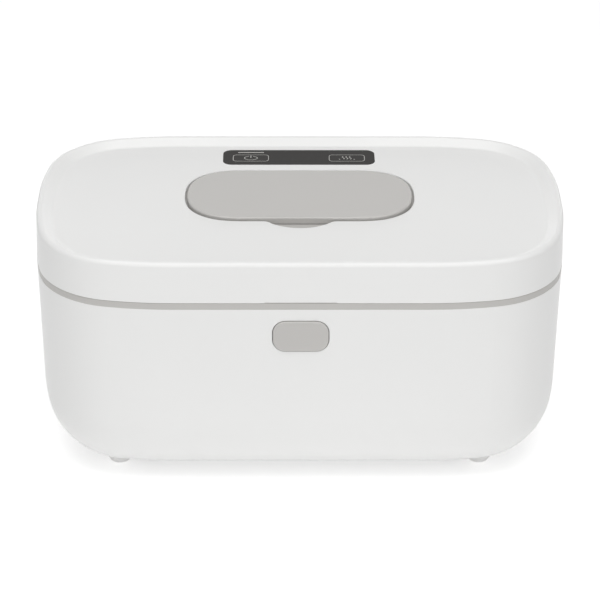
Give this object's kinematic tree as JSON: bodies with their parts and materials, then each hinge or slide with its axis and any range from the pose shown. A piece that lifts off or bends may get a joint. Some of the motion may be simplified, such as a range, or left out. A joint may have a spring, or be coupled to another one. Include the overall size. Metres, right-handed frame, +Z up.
{
  "type": "baby wipe warmer",
  "caption": "Electric baby wipe warmer: rounded tub with heated tank, hinged lid with pull-out flap and touch panel, front push button",
  "frame": {"origin": "centre of the footprint, on the surface that the feet stand on", "axes": "+X right along the long side, +Y back towards the hinge, +Z up"},
  "size_m": [0.231, 0.1345, 0.1135],
  "materials": {
    "white_shell": "satin",
    "grey_plastic": "satin",
    "panel": "gloss",
    "tank": "satin",
    "silicone": "matte",
    "foot_rubber": "matte",
    "steel": "brushed",
    "aluminium": "rolled",
    "film": "film",
    "pad": "felt",
    "board": "solder mask",
    "inlet": "moulded",
    "diffuser": "moulded",
    "wire": "sheathed",
    "fuse": "glazed",
    "latch": "moulded"
  },
  "bodies": {
    "base": {"base_shell": "white_shell", "inner_tank": "tank", "trim_ring": "grey_plastic", "heat_plate": "aluminium", "heater_film": "film", "heater_pad": "pad", "thermostat": "steel", "thermal_fuse": "fuse", "heater_leads": "wire", "power_board": "board", "power_inlet": "inlet", "latch_bracket": "latch", "button_spring": "steel", "case_screws": "steel", "bracket_screws": "steel", "board_screws": "steel", "foot_left_front": "foot_rubber", "foot_left_rear": "foot_rubber", "foot_right_front": "foot_rubber", "foot_right_rear": "foot_rubber"},
    "lid": {"lid_shell": "white_shell", "inner_cover": "tank", "lid_gasket": "silicone", "mouth_gasket": "silicone", "touch_panel": "panel", "display_board": "board", "light_block": "diffuser", "touch_spring_left": "steel", "touch_spring_right": "steel", "cover_screws": "steel", "display_screws": "steel", "hinge_pins": "steel", "flap_well": "grey_plastic", "lid_catch": "latch", "catch_screws": "steel"},
    "flap": {"flap": "grey_plastic", "flap_pins": "steel"},
    "button": {"button": "grey_plastic", "latch_bar": "latch"}
  },
  "joints": [
    {"name": "lid_hinge", "type": "hinge", "parent": "base", "child": "lid", "pos_m": [0, 0.064, 0.0987], "axis": [-1, 0, 0], "range_deg": [0, 95]},
    {"name": "flap_hinge", "type": "hinge", "parent": "lid", "child": "flap", "pos_m": [0, 0.0295, 0.1099], "axis": [-1, 0, 0], "range_deg": [0, 95]},
    {"name": "button_press", "type": "slide", "parent": "base", "child": "button", "axis": [0, 1, 0], "range_m": [0, 0.002], "stiffness_N_per_m": 300, "springref_m": -0.003, "deforming": ["button_spring"]}
  ]
}
